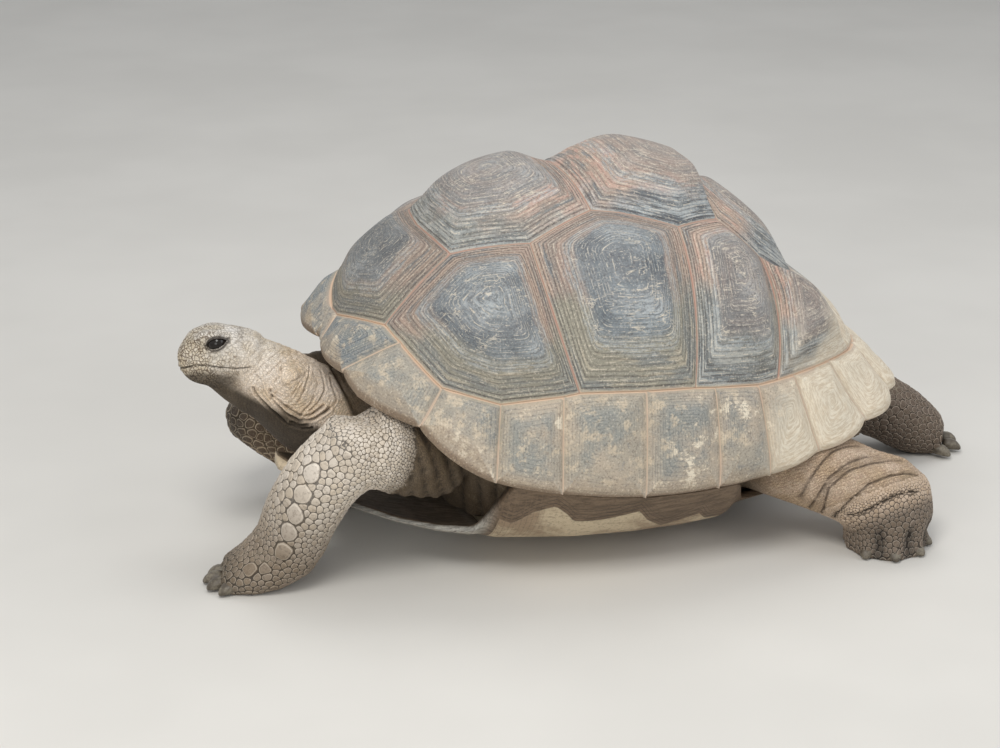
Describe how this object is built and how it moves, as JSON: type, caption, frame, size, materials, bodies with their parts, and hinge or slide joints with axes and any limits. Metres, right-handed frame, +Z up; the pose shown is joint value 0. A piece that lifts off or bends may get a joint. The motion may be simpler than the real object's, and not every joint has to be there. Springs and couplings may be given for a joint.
{
  "type": "giant tortoise",
  "caption": "Life-size giant tortoise model walking with its head raised: high domed shell of bossed plates, flared rim, scaly pillar legs.",
  "frame": {"origin": "middle of the bounding box in plan, at the floor under the soles", "axes": "+Z up, +X toward the tail, -X toward the head, +Y to the animal's right side, -Y to its left side"},
  "size_m": [1.5996, 0.8154, 0.7324],
  "materials": {
    "dome_horn": "matt ridged horn, blue-grey bosses with pinkish tan bands",
    "rim_horn": "matt dusty grey-khaki horn",
    "plastron_horn": "matt pale worn horn",
    "skin": "dry scaly grey-brown skin",
    "eye": "wet dark brown"
  },
  "bodies": {
    "root": {"vertebral_1": "dome_horn", "vertebral_2": "dome_horn", "vertebral_3": "dome_horn", "vertebral_4": "dome_horn", "vertebral_5": "dome_horn", "nuchal": "rim_horn", "supracaudal": "rim_horn", "costal_left_1": "dome_horn", "costal_left_2": "dome_horn", "costal_left_3": "dome_horn", "costal_left_4": "dome_horn", "marginal_left_1": "rim_horn", "marginal_left_2": "rim_horn", "marginal_left_3": "rim_horn", "marginal_left_4": "rim_horn", "marginal_left_5": "rim_horn", "marginal_left_6": "rim_horn", "marginal_left_7": "rim_horn", "marginal_left_8": "rim_horn", "marginal_left_9": "rim_horn", "marginal_left_10": "rim_horn", "marginal_left_11": "rim_horn", "costal_right_1": "dome_horn", "costal_right_2": "dome_horn", "costal_right_3": "dome_horn", "costal_right_4": "dome_horn", "marginal_right_1": "rim_horn", "marginal_right_2": "rim_horn", "marginal_right_3": "rim_horn", "marginal_right_4": "rim_horn", "marginal_right_5": "rim_horn", "marginal_right_6": "rim_horn", "marginal_right_7": "rim_horn", "marginal_right_8": "rim_horn", "marginal_right_9": "rim_horn", "marginal_right_10": "rim_horn", "marginal_right_11": "rim_horn", "plastron": "plastron_horn", "trunk": "skin", "foreleg_left": "skin", "forefoot_left": "skin", "foreleg_right": "skin", "forefoot_right": "skin", "hindleg_left": "skin", "hindfoot_left": "skin", "hindleg_right": "skin", "hindfoot_right": "skin", "tail": "skin", "head": "skin", "jaw": "skin", "eye_left": "eye", "eye_right": "eye", "neck": "skin"}
  },
  "joints": []
}
